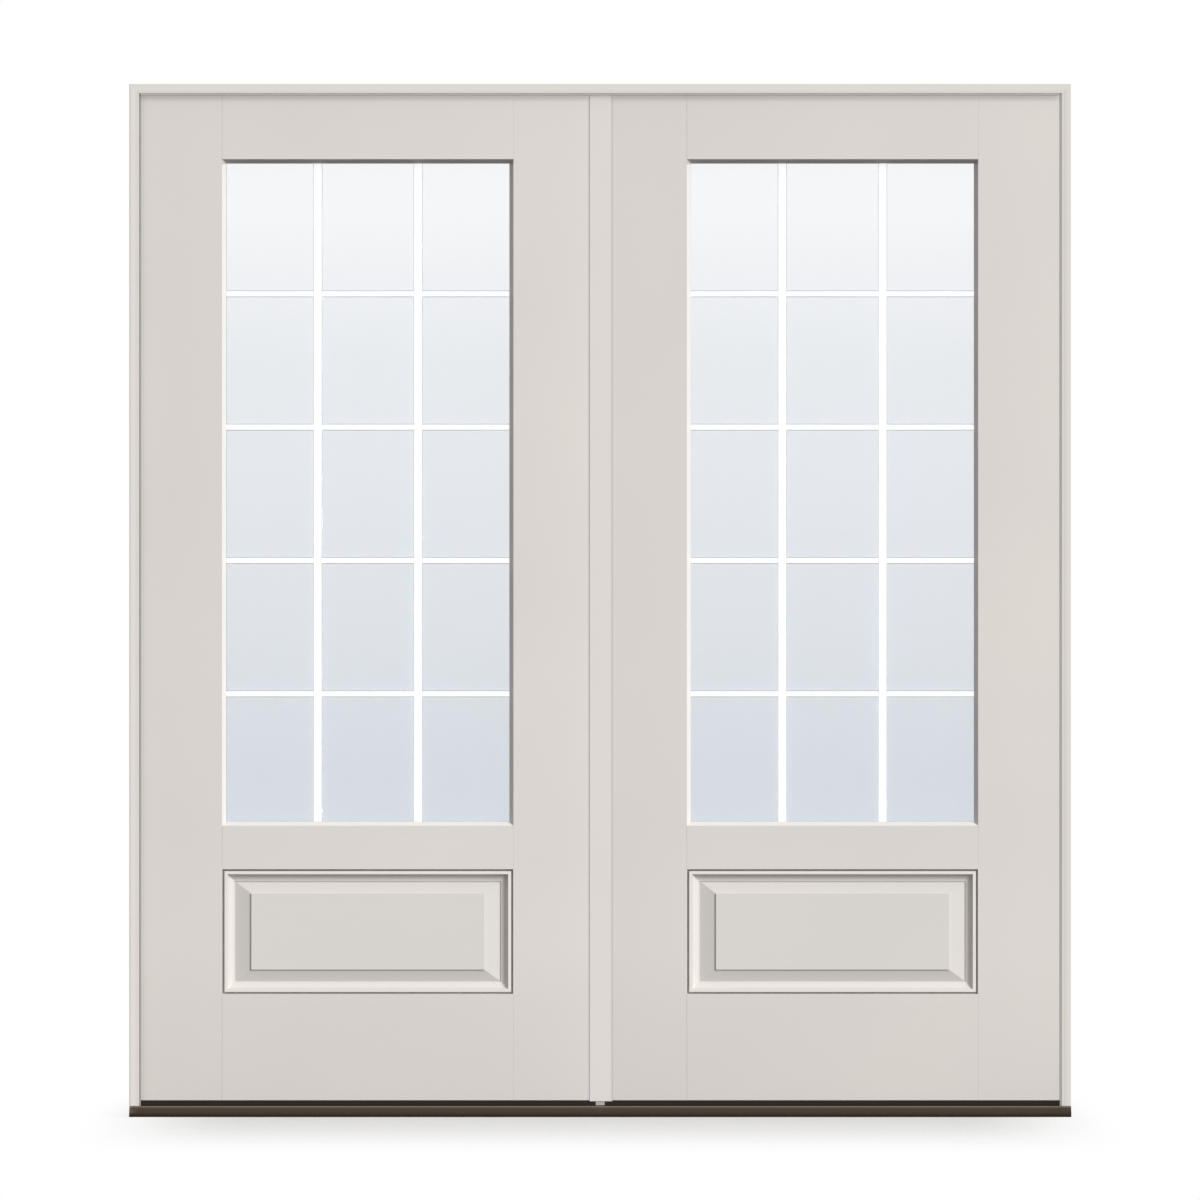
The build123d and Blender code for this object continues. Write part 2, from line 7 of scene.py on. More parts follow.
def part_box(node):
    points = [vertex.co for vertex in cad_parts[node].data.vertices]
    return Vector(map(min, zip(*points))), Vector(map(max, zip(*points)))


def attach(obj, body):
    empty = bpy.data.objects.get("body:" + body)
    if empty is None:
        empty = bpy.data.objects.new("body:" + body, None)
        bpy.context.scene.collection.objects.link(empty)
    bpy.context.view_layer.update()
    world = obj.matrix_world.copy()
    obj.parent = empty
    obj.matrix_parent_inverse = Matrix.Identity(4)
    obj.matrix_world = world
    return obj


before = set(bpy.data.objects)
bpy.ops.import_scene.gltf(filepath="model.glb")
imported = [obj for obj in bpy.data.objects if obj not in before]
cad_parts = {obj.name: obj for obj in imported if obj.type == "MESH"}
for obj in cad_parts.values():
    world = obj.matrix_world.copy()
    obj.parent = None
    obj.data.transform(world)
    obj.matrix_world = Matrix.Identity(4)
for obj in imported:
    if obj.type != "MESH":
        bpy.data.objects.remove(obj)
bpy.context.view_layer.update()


# Jambs and head: the rabbeted timber frame that carries both leaves. Each length is planed from solid
# stock with its lip and rabbet in one section, mitred at the lips and sprayed in off-white satin.
class Shade:
    """A socket of one material's nodes. Sums and products of sockets add the Math nodes they need."""

    def __init__(self, tree, socket=None):
        self.tree = tree
        self.socket = socket

    def node(self, kind, settings, inputs, output=0):
        """Adds a node: its settings first, then the values or links of its sockets."""
        made = self.tree.nodes.new("ShaderNode" + kind)
        for name, value in settings.items():
            if name == "stops":
                ramp = made.color_ramp.elements
                while len(ramp) < len(value):
                    ramp.new(0.5)
                for element, (position, colour) in zip(ramp, value):
                    element.position = position
                    element.color = colour
            else:
                setattr(made, name, value)
        for name, value in inputs.items():
            if isinstance(value, Shade):
                self.tree.links.new(value.socket, made.inputs[name])
            else:
                made.inputs[name].default_value = value
        return Shade(self.tree, made.outputs[output] if made.outputs else None)

    def sum_of(self, operation, first, second):
        """A Math node on two values or sockets."""
        return self.node("Math", {"operation": operation}, {0: first, 1: second})

    def __add__(self, other):
        return self.sum_of("ADD", self, other)

    def __rsub__(self, other):
        return self.sum_of("SUBTRACT", other, self)

    def __mul__(self, other):
        return self.sum_of("MULTIPLY", self, other)

    __radd__ = __add__
    __rmul__ = __mul__


def new_finish(name):
    """An empty material, with a Shade to start its nodes from."""
    material = bpy.data.materials.new(name)
    material.use_nodes = True
    material.node_tree.nodes.clear()
    return material, Shade(material.node_tree)


def cover(start, sockets):
    """Ends a material with its surface, from the sockets that differ from the shader's own values."""
    surface = start.node("BsdfPrincipled", {}, sockets)
    start.node("OutputMaterial", {}, {"Surface": surface})


def screen(red, green, blue):
    """A colour as a screen shows it, 0 to 255, in the linear values that a shader takes."""
    shares = [value / 255 for value in (red, green, blue)]
    return (*[((share + 0.055) / 1.055) ** 2.4 for share in shares], 1.0)


def soft_mix(start, factor, first, second):
    """A colour between two others."""
    return start.node("Mix", {"data_type": "RGBA"}, {0: factor, 6: first, 7: second}, 2)


def share_along(start, axis, first, last):
    """How far a place lies from first to last along an axis of its piece, 0 to 1."""
    place = start.node("TexCoord", {}, {}, "Object")
    along = start.node("SeparateXYZ", {}, {"Vector": place}, axis)
    return start.node("MapRange", {"clamp": True}, {"Value": along, "From Min": first, "From Max": last})


def across_piece(start, axis, first, last, shades):
    """A grey that changes between two places along an axis, from stops of share and shade."""
    stops = [(position, (shade, shade, shade, 1.0)) for position, shade in shades]
    return start.node("ValToRGB", {"stops": stops}, {"Fac": share_along(start, axis, first, last)})


def drawn_lines(start, place, along, detail):
    """Noise drawn out into fine lines. Along gives its scale on each axis, low in the lines' direction."""
    drawn_out = start.node("VectorMath", {"operation": "MULTIPLY"}, {0: place, 1: along})
    return start.node("TexNoise", {}, {"Vector": drawn_out, "Scale": 1.0, "Detail": detail})


def looking_along(start, axis, least, most):
    """How far a face looks along an axis of its piece, either way: 0 up to least and 1 from most."""
    normal = start.node("TexCoord", {}, {}, "Normal")
    part = start.node("SeparateXYZ", {}, {"Vector": normal}, axis)
    size = start.node("Math", {"operation": "ABSOLUTE"}, {0: part})
    return start.node("MapRange", {"clamp": True}, {"Value": size, "From Min": least, "From Max": most})


def shaded(start, tone, shade):
    """A colour darkened by a grey."""
    return start.node("Mix", {"data_type": "RGBA", "blend_type": "MULTIPLY"}, {0: 1.0, 6: tone, 7: shade}, 2)


def satin_paint(name, warm, cool, along, *edges, slope_shade=1.0):
    """Sprayed satin paint: slow drifts of tone, faint strokes along the timber and a fine orange peel.
    Each of the edges gives places and painted shades along one axis. Slope_shade is a painted shade on faces
    off the flat."""
    material, start = new_finish(name)
    place = start.node("TexCoord", {}, {}, "Object")
    drift = start.node("TexNoise", {}, {"Vector": place, "Scale": 2.6, "Detail": 1.5, "Roughness": 0.4})
    peel = start.node("TexNoise", {}, {"Vector": place, "Scale": 700.0, "Detail": 1.0})
    strokes = drawn_lines(start, place, along, detail=3.0)
    steep = start.node("MapRange", {"clamp": True}, {"Value": drift, "From Min": 0.3, "From Max": 0.7})
    tone = soft_mix(start, steep, cool, warm)
    for edge in edges:
        tone = shaded(start, tone, across_piece(start, *edge))
    # Painted shade on faces that slope off the flat.
    if slope_shade < 1.0:
        flat = looking_along(start, "Y", least=0.975, most=0.995)
        tone = shaded(start, tone, soft_mix(start, flat, (slope_shade, slope_shade, slope_shade, 1.0), (1.0, 1.0, 1.0, 1.0)))
    relief = start.node("Bump", {}, {"Strength": 0.35, "Distance": 0.00006, "Height": peel + strokes})
    cover(start, {
        "Base Color": tone, "Roughness": 0.40 + 0.16 * strokes, "Normal": relief, "Specular IOR Level": 0.35})
    return material


def dress(material, *nodes):
    """Gives CAD nodes their finish."""
    for name in nodes:
        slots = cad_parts[name].data.materials
        slots.clear()
        slots.append(material)


along_upright = (260.0, 260.0, 3.0)
along_level = (3.0, 260.0, 260.0)
frame_warm = screen(212, 207, 201)
frame_cool = screen(209, 205, 200)
jamb_low, jamb_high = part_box("left_jamb")
head_low, head_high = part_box("head_jamb")
# Painted shade: each jamb and the head darken at the outer arris and in bands towards the lip's inner edge.
outer_arris_painted_shade = [(0.005, 1.0), (0.01, 0.84), (0.09, 0.88), (0.15, 1.0)]
left_jamb_painted_shade = [*outer_arris_painted_shade, (0.55, 0.99), (0.80, 0.93), (1.0, 0.84)]
right_jamb_painted_shade = [*outer_arris_painted_shade, (0.37, 0.955), (0.50, 0.914), (0.68, 0.865), (0.86, 0.94), (1.0, 0.93)]
head_jamb_painted_shade = [*outer_arris_painted_shade, (0.55, 0.99), (0.80, 0.95), (1.0, 0.92)]
for jamb, along, edge in (("left_jamb", along_upright, ("X", jamb_low.x, jamb_high.x, left_jamb_painted_shade)),
                          ("right_jamb", along_upright, ("X", -jamb_low.x, -jamb_high.x, right_jamb_painted_shade)),
                          ("head_jamb", along_level, ("Z", head_high.z, head_low.z, head_jamb_painted_shade))):
    dress(satin_paint(jamb + "_paint", frame_warm, frame_cool, along, edge), jamb)


# Sill: the hollow aluminium extrusion that the jambs stand on. It slopes down to a nose outside, and
# it is bronze anodised, with the fine lines that the extruder's die leaves along its length.
def bronze_anodised(low, high):
    material, start = new_finish("bronze_anodised")
    place = start.node("TexCoord", {}, {}, "Object")
    # Painted light: the bronze is painted lighter along the top edge, a painted highlight, and darker down
    # the slope and nose, a painted shade.
    sill_painted_light_tones = [(0.05, screen(37, 28, 21)), (0.19, screen(45, 35, 27)), (0.29, screen(56, 45, 36)),
             (0.46, screen(51, 40, 31)), (0.62, screen(57, 45, 35)), (0.84, screen(67, 51, 40)),
             (0.94, screen(119, 105, 91)), (0.98, screen(108, 95, 83)), (1.0, screen(44, 35, 28))]
    tone = start.node("ValToRGB", {"stops": sill_painted_light_tones}, {"Fac": share_along(start, "Z", low, high)})
    lines = drawn_lines(start, place, along=(2.0, 900.0, 900.0), detail=4.0)
    relief = start.node("Bump", {}, {"Strength": 0.4, "Distance": 0.00005, "Height": lines})
    cover(start, {
        "Base Color": tone, "Metallic": 0.25, "Roughness": 0.42 + 0.2 * lines, "Normal": relief,
        "Specular IOR Level": 0.15})
    return material


sill_low, sill_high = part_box("sill")
dress(bronze_anodised(sill_low.z, sill_high.z), "sill")


# Weatherstrips: foam seals in a vinyl skin, pressed into the kerf behind the lip, whose round nose
# closes on the leaf. The astragal's bulb seal and its boot are of the same grey vinyl.
def grey_vinyl(name, tone, worn, sheen=0.5):
    material, start = new_finish(name)
    place = start.node("TexCoord", {}, {}, "Object")
    cells = start.node("TexVoronoi", {"feature": "SMOOTH_F1"}, {"Vector": place, "Scale": 900.0})
    cloud = start.node("TexNoise", {}, {"Vector": place, "Scale": 40.0, "Detail": 2.0})
    colour = soft_mix(start, cloud, tone, worn)
    relief = start.node("Bump", {}, {"Strength": 0.3, "Distance": 0.0001, "Height": cells})
    cover(start, {
        "Base Color": colour, "Roughness": 0.55 + 0.2 * cloud, "Normal": relief, "Specular IOR Level": sheen})
    return material


# All three strips are one grey vinyl. The left one is painted darker, a painted shade where the key light
# falls, and the head's is painted lighter, a painted light in the lip's shadow.
seal_vinyl = grey_vinyl("grey_seal_vinyl", screen(168, 164, 160), screen(160, 156, 152))
dress(seal_vinyl, "right_weatherstrip")
dress(grey_vinyl("worn_seal_vinyl", screen(136, 132, 128), screen(130, 126, 122)), "left_weatherstrip")
dress(grey_vinyl("clean_seal_vinyl", screen(213, 209, 205), screen(207, 203, 199)), "head_weatherstrip")


# Strikes and hinges: satin steel plates let in flush, with knuckles round a pin on the hinges. Each plate
# is held by cross-head screws, and a button closes each end of a hinge's barrel.
def satin_steel(name, tone, along):
    material, start = new_finish(name)
    place = start.node("TexCoord", {}, {}, "Object")
    lines = drawn_lines(start, place, along, detail=3.0)
    smear = start.node("TexNoise", {}, {"Vector": place, "Scale": 90.0, "Detail": 2.0})
    colour = soft_mix(start, smear, tone, screen(150, 149, 147))
    relief = start.node("Bump", {}, {"Strength": 0.25, "Distance": 0.00004, "Height": lines})
    cover(start, {
        "Base Color": colour, "Metallic": 0.75, "Roughness": 0.26 + 0.2 * lines, "Normal": relief})
    return material


def ring_of(mesh, points):
    """A closed loop of vertices."""
    return [mesh.verts.new(point) for point in points]


def bridge(mesh, first, second):
    """Faces between two loops of as many vertices."""
    count = len(first)
    for i in range(count):
        after = (i + 1) % count
        mesh.faces.new((first[i], first[after], second[after], second[i]))


def circle(placed, radius, height):
    """Points round placed's Z, at a height along it."""
    sides = 32
    turns = [2 * math.pi * i / sides for i in range(sides)]
    return [placed @ Vector((radius * math.cos(turn), radius * math.sin(turn), height)) for turn in turns]


def add_screw_head(mesh, placed, radius):
    """One pan head with a cross recess, standing on a face and looking along placed's Z."""
    proud, rim, recess = 0.14 * radius, 0.10 * radius, 0.12 * radius
    arm, half_slot, narrowing = 0.56 * radius, 0.13 * radius, 0.8

    def cross(share, height):
        long, short = arm * share, half_slot * share
        corner = [(long, -short), (long, short), (short, short)]
        points = []
        for quarter in range(4):
            spin = Matrix.Rotation(quarter * math.pi / 2, 2)
            points += [spin @ Vector(point) for point in corner]
        return [placed @ Vector((point.x, point.y, height)) for point in points]

    foot = ring_of(mesh, circle(placed, radius, 0))
    edge = ring_of(mesh, circle(placed, radius - rim, proud))
    mouth = ring_of(mesh, cross(1, proud))
    floor = ring_of(mesh, cross(narrowing, proud - recess))
    bridge(mesh, foot, edge)
    bridge(mesh, mouth, floor)
    mesh.faces.new(floor)
    mesh.faces.new(list(reversed(foot)))
    loops = []
    for loop in (edge, mouth):
        for i, vertex in enumerate(loop):
            pair = (vertex, loop[i - 1])
            loops.append(mesh.edges.get(pair) or mesh.edges.new(pair))
    bmesh.ops.triangle_fill(mesh, use_beauty=True, edges=loops)


def add_button(mesh, placed, radius, height):
    """A round button with a domed face that looks along placed's Z."""
    steps = 6
    loops = [ring_of(mesh, circle(placed, radius, 0))]
    for step in range(steps):
        turn = math.pi / 2 * step / steps
        rise = height * (1 + math.sin(turn)) / 2
        loops.append(ring_of(mesh, circle(placed, radius * math.cos(turn), rise)))
    for first, second in zip(loops, loops[1:]):
        bridge(mesh, first, second)
    mesh.faces.new(loops[-1])
    mesh.faces.new(list(reversed(loops[0])))


def new_piece(name, mesh, material, body):
    """A finished mesh as a piece that rides on a body."""
    bmesh.ops.recalc_face_normals(mesh, faces=mesh.faces)
    data = bpy.data.meshes.new(name)
    mesh.to_mesh(data)
    mesh.free()
    data.materials.append(material)
    piece = bpy.data.objects.new(name, data)
    bpy.context.scene.collection.objects.link(piece)
    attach(piece, body)
    return piece


def looking(point, direction):
    """A place at point whose Z looks along direction."""
    return Matrix.Translation(point) @ Vector(direction).to_track_quat("Z", "Y").to_matrix().to_4x4()


hinge_steel = satin_steel("satin_steel_hinges", screen(196, 194, 190), along=(400.0, 400.0, 6.0))
strike_steel = satin_steel("satin_steel_strikes", screen(196, 194, 190), along=(6.0, 400.0, 400.0))
screw_steel = satin_steel("screw_steel", screen(206, 204, 200), along=(300.0, 300.0, 300.0))
dress(strike_steel, "top_strike", "bottom_strike")
dress(hinge_steel, "left_jamb_hinges", "right_jamb_hinges", "left_leaf_hinges", "right_leaf_hinges")

strike_screw_radius = 0.0026
strike_screw_inset = 0.0045
strike_screws = bmesh.new()
for strike, face, out in (("top_strike", 0, -1), ("bottom_strike", 1, 1)):
    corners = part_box(strike)
    middle = (corners[0] + corners[1]) / 2
    for x in (corners[0].x + strike_screw_inset, corners[1].x - strike_screw_inset):
        spot = looking((x, middle.y, corners[face].z), (0, 0, out))
        add_screw_head(strike_screws, spot, strike_screw_radius)
new_piece("strike_screws", strike_screws, screw_steel, "frame")


def solid_heights(node):
    """The lowest and highest point of each separate solid in a CAD node, from the lowest solid up."""
    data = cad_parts[node].data
    heights = sorted({round(vertex.co.z, 4) for vertex in data.vertices})
    widest_gap = 0.2
    groups = [[heights[0]]]
    for height in heights[1:]:
        if height - groups[-1][-1] > widest_gap:
            groups.append([])
        groups[-1].append(height)
    return [(group[0], group[-1]) for group in groups]


hinge_screw_radius = 0.0042
hinge_screw_rows = (0.16, 0.5, 0.84)
hinge_screw_depth = (0.009, 0.020, 0.009)
leaf_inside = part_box("left_hinge_stile")[1].y
button_share = 0.82
button_height = 0.0032
for side, sign in (("left", -1), ("right", 1)):
    barrel_low, barrel_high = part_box(side + "_jamb_hinges")
    barrel_radius = (barrel_high.x - barrel_low.x) / 2
    pin_x = (barrel_low.x + barrel_high.x) / 2
    pin_y = barrel_high.y - barrel_radius
    buttons = bmesh.new()
    for low, high in solid_heights(side + "_jamb_hinges"):
        for z, up in ((low, -1), (high, 1)):
            spot = looking((pin_x, pin_y, z), (0, 0, up))
            add_button(buttons, spot, button_share * barrel_radius, button_height)
    new_piece(side + "_hinge_buttons", buttons, hinge_steel, "frame")

    leaf_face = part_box(side + "_hinge_stile")[0 if sign < 0 else 1].x
    jamb_face = 2 * pin_x - leaf_face
    halves = (("jamb", jamb_face, -sign, "frame"), ("leaf", leaf_face, sign, side + "_leaf"))
    for part, face, out, body in halves:
        heads = bmesh.new()
        for low, high in solid_heights(side + "_" + part + "_hinges"):
            for row, depth in zip(hinge_screw_rows, hinge_screw_depth):
                point = (face, leaf_inside - depth, low + row * (high - low))
                add_screw_head(heads, looking(point, (out, 0, 0)), hinge_screw_radius)
        new_piece(side + "_" + part + "_hinge_screws", heads, screw_steel, body)


# Stiles and rails: the planks of each leaf, joined with stub tenons in the ploughed edges, so that only
# a fine line shows at each shoulder. They are painted after gluing, with the strokes along each plank.
# Each leaf carries painted shade: darker towards its foot, a painted shadow below the head's lip, and a
# painted falloff of light that lightens its tone towards the right.
sides = ("left", "right")
leaf_warm = screen(211, 206, 200)
leaf_cool = screen(209, 203, 199)
leaf_low, leaf_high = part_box("left_meeting_stile")
foot_shade_height = 0.30
foot_painted_shade = ("Z", leaf_low.z, leaf_low.z + foot_shade_height, [(0.0, 0.945), (0.6, 0.965), (1.0, 1.0)])
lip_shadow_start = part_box("head_weatherstrip")[0].z
lip_shadow_reach = 0.014
under_lip_painted_shadow = ("Z", lip_shadow_start, lip_shadow_start - lip_shadow_reach, [
    (0.0, 0.98), (0.21, 0.96), (0.38, 0.89), (0.54, 0.905), (0.71, 0.947), (0.88, 0.99), (1.0, 1.0)])
# Painted falloff of light across each leaf, darkest at its left edge.
painted_falloff_shades = [(0.0, 0.932), (0.05, 0.937), (0.16, 0.946), (0.85, 0.968), (0.95, 0.982), (1.0, 1.0)]
painted_falloffs = {}
for side in sides:
    corners = [*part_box(side + "_hinge_stile"), *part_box(side + "_meeting_stile")]
    edges_x = [corner.x for corner in corners]
    painted_falloffs[side] = ("X", min(edges_x), max(edges_x), painted_falloff_shades)
    upright_paint = satin_paint(side + "_upright_paint", leaf_warm, leaf_cool, along_upright,
                                foot_painted_shade, under_lip_painted_shadow, painted_falloffs[side])
    level_paint = satin_paint(side + "_level_paint", leaf_warm, leaf_cool, along_level,
                              foot_painted_shade, under_lip_painted_shadow, painted_falloffs[side])
    dress(upright_paint, side + "_hinge_stile", side + "_meeting_stile")
    dress(level_paint, side + "_top_rail", side + "_mid_rail", side + "_bottom_rail")

# The left leaf's hinge stile carries a painted shadow beside the jamb, darkest where it closes on the jamb's
# seal.
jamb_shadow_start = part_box("left_weatherstrip")[1].x
jamb_shadow_reach = 0.022
jamb_painted_shadow = ("X", jamb_shadow_start, jamb_shadow_start + jamb_shadow_reach, [
    (0.0, 0.82), (0.20, 0.885), (0.41, 0.94), (0.59, 0.97), (0.77, 0.985), (1.0, 1.0)])
hinge_edge_paint = satin_paint("hinge_edge_paint", leaf_warm, leaf_cool, along_upright,
                               foot_painted_shade, under_lip_painted_shadow, painted_falloffs["left"], jamb_painted_shadow)
dress(hinge_edge_paint, "left_hinge_stile")


# Raised panels and their mouldings: each panel floats with its tongue in the ploughed grooves, and four
# mitred lengths of quirk and cove are planted round it on both faces. All of it is painted with the leaf.
# The mouldings are painted lighter than the leaf, a painted highlight on their flats. Their slopes and the
# panel's bevels are darker, a painted shade.
moulding_highlight_warm = screen(222, 217, 211)
moulding_highlight_cool = screen(220, 214, 210)
panel_warm = screen(205, 200, 195)
panel_cool = screen(202, 198, 194)
panel_paint = satin_paint("panel_paint", panel_warm, panel_cool, along_level, slope_shade=0.955)
for side in sides:
    moulding_paint = satin_paint(side + "_moulding_paint", moulding_highlight_warm, moulding_highlight_cool, along_level,
                                 painted_falloffs[side], slope_shade=0.89)
    dress(panel_paint, side + "_raised_panel")
    dress(moulding_paint, side + "_outer_panel_moulding", side + "_inner_panel_moulding")


# Glazing beads: mitred timber beads on both faces that clamp the glass against the leaf.
# They are painted with the leaf, and their top and bottom lengths carry a painted shade.
bead_low, bead_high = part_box("left_outer_glazing_bead")
bead_width = 0.012
top_bead_painted_shade = ("Z", bead_high.z, bead_high.z - bead_width, [(0.0, 0.68), (0.75, 0.68), (1.0, 1.0)])
low_bead_painted_shade = ("Z", bead_low.z, bead_low.z + bead_width, [(0.0, 0.94), (0.75, 0.94), (1.0, 1.0)])
bead_paint = satin_paint("bead_paint", screen(217, 213, 208), screen(214, 211, 208), along_upright,
                         top_bead_painted_shade, low_bead_painted_shade)
for side in sides:
    dress(bead_paint, side + "_outer_glazing_bead", side + "_inner_glazing_bead")


# Glazing units: two panes sealed to a metal spacer, on two setting blocks that carry their weight.
# White vinyl bars stand between the panes. Both panes carry a painted reflection, a blue-grey haze that is
# faint on the outer pane and deepens downwards on the inner one.
def clear_glass(name, low, high, reflection_alphas, tint):
    material, start = new_finish(name)
    place = start.node("TexCoord", {}, {}, "Object")
    reflection_alpha = across_piece(start, "Z", low, high, reflection_alphas)
    ripple = start.node("TexNoise", {}, {"Vector": place, "Scale": 4.0, "Detail": 0.0})
    relief = start.node("Bump", {}, {"Strength": 0.05, "Distance": 0.002, "Height": ripple})
    cover(start, {"Base Color": tint, "Roughness": 0.04, "Alpha": reflection_alpha, "Normal": relief})
    return material


def white_vinyl():
    material, start = new_finish("white_vinyl")
    place = start.node("TexCoord", {}, {}, "Object")
    cloud = start.node("TexNoise", {}, {"Vector": place, "Scale": 12.0, "Detail": 2.0})
    peel = start.node("TexNoise", {}, {"Vector": place, "Scale": 1200.0, "Detail": 1.0})
    white = soft_mix(start, cloud, screen(252, 252, 251), screen(249, 249, 250))
    # Painted shade: the bars' bevels are painted grey and their flats white.
    flat = looking_along(start, "Y", least=0.75, most=0.95)
    colour = soft_mix(start, flat, screen(180, 182, 185), white)
    relief = start.node("Bump", {}, {"Strength": 0.15, "Distance": 0.00004, "Height": peel})
    cover(start, {"Base Color": colour, "Roughness": 0.34 + 0.08 * peel, "Normal": relief})
    return material


glass_low, glass_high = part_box("left_outer_pane")
glass_heights = (glass_low.z, glass_high.z)
outer_glass = clear_glass("outer_glass", *glass_heights, [(0.0, 0.03), (1.0, 0.02)], screen(190, 205, 215))
# Painted reflection: the haze by height stands in for the sky mirrored in the panes, deepest near the bottom.
painted_sky_reflection = [(0.08, 0.275), (0.29, 0.217), (0.49, 0.177), (0.70, 0.144), (0.92, 0.056)]
coated_glass = clear_glass("coated_glass", *glass_heights, painted_sky_reflection, screen(156, 170, 188))
spacer_metal = satin_steel("spacer_metal", screen(190, 192, 194), along=(60.0, 300.0, 60.0))
bar_vinyl = white_vinyl()
block_rubber = grey_vinyl("block_rubber", screen(58, 56, 54), screen(48, 46, 45))
for side in sides:
    dress(outer_glass, side + "_outer_pane")
    dress(coated_glass, side + "_inner_pane")
    dress(spacer_metal, side + "_glass_spacer")
    dress(bar_vinyl, side + "_glass_grille")
    dress(block_rubber, side + "_setting_blocks")


# Sweeps: dark vinyl strips under the leaves and under the astragal, whose fins wipe the sill.
# A soft lip hangs from the front fin of each leaf's sweep and closes the last of the gap.
def add_fin(mesh, root, tip, front, thickness, ends, level=False):
    """A flat strip from root to tip with a round edge at its tip. It stands upright or runs level."""
    radius = thickness / 2
    toward = -1 if tip < root else 1
    steps = 6
    turns = [math.pi * step / steps - math.pi / 2 for step in range(steps + 1)]
    section = [(root, front)]
    for turn in turns:
        section.append((tip - toward * radius * (1 - math.cos(turn)), front + radius * (1 + math.sin(turn))))
    section.append((root, front + thickness))
    loops = []
    for end in ends:
        points = [(end, depth, reach) if level else (reach, depth, end) for reach, depth in section]
        loops.append(ring_of(mesh, points))
    bridge(mesh, *loops)
    mesh.faces.new(loops[0])
    mesh.faces.new(loops[1])


sweep_vinyl = grey_vinyl("dark_sweep_vinyl", screen(38, 34, 30), screen(32, 29, 25), sheen=0.15)
dress(sweep_vinyl, "left_bottom_sweep", "right_bottom_sweep", "astragal_sweep")
lip_inset = 0.0004
lip_thickness = 0.0016
lip_root = 0.0012
lip_clearance = 0.0004
for side in sides:
    sweep_low, sweep_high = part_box(side + "_bottom_sweep")
    lip = bmesh.new()
    add_fin(lip, sweep_low.z + lip_root, sill_high.z + lip_clearance, sweep_low.y + lip_inset, lip_thickness,
            (sweep_low.x, sweep_high.x), level=True)
    new_piece(side + "_sweep_lip", lip, sweep_vinyl, side + "_leaf")


# Astragal: the hollow aluminium post on the passive leaf's meeting edge, powder coated to match the
# frame. It holds the bulb seal and two flush bolts, and a grey boot closes the gap below it.
def powder_coat(tone, shadow, groove_painted_shade):
    material, start = new_finish("powder_coat")
    place = start.node("TexCoord", {}, {}, "Object")
    peel = start.node("TexNoise", {}, {"Vector": place, "Scale": 1100.0, "Detail": 2.0})
    cloud = start.node("TexNoise", {}, {"Vector": place, "Scale": 3.0, "Detail": 1.0})
    clean = soft_mix(start, cloud, shadow, tone)
    colour = shaded(start, clean, across_piece(start, *groove_painted_shade))
    relief = start.node("Bump", {}, {"Strength": 0.3, "Distance": 0.00005, "Height": peel})
    cover(start, {"Base Color": colour, "Roughness": 0.42 + 0.1 * peel, "Normal": relief})
    return material


# Painted shade lies in the groove where the astragal meets the passive leaf's edge, and it dulls the lit
# arris beside it.
post_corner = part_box("astragal_sweep")[0]
astragal_side = post_corner.x
groove_lead = 0.0015
groove_shades = [(0.0, 1.0), (0.18, 0.98), (0.23, 0.80), (0.30, 0.74), (0.55, 0.80), (0.72, 1.0)]
groove_painted_shade = ("X", -astragal_side - groove_lead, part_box("astragal")[1].x, groove_shades)
dress(powder_coat(screen(210, 205, 200), screen(208, 203, 198), groove_painted_shade), "astragal")
dress(seal_vinyl, "astragal_seal")
boot_vinyl = grey_vinyl("boot_vinyl", screen(165, 161, 158), screen(159, 155, 152))
dress(boot_vinyl, "astragal_boot")
dress(hinge_steel, "top_bolt", "bottom_bolt")
boot_low, boot_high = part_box("astragal_boot")
boot_lip = bmesh.new()
add_fin(boot_lip, boot_low.z + lip_root, sill_high.z + lip_clearance, boot_low.y + lip_inset, lip_thickness,
        (boot_low.x, boot_high.x), level=True)
new_piece("astragal_boot_lip", boot_lip, boot_vinyl, "right_leaf")

# Fin on the astragal's active side: a soft pale grey strip level with the leaf's face, which closes the seam.
# Its grey, a little darker than the leaf, is a painted shade along the seam.
# Its dark foot closes the gap between the sweeps below.
fin_clearance = 0.0002
fin_thickness = 0.0012
foot_thickness = 0.0024
leaf_edge = leaf_high.x
fin_white = grey_vinyl("fin_vinyl", screen(204, 200, 195), screen(200, 196, 191))
fin = bmesh.new()
fin_tip = leaf_edge + fin_clearance
add_fin(fin, astragal_side, fin_tip, leaf_low.y, fin_thickness, (leaf_low.z, leaf_high.z))
new_piece("astragal_fin", fin, fin_white, "right_leaf")
foot = bmesh.new()
foot_ends = (sill_high.z + lip_clearance, leaf_low.z)
add_fin(foot, astragal_side, leaf_edge, post_corner.y, foot_thickness, foot_ends)
new_piece("astragal_fin_foot", foot, sweep_vinyl, "right_leaf")


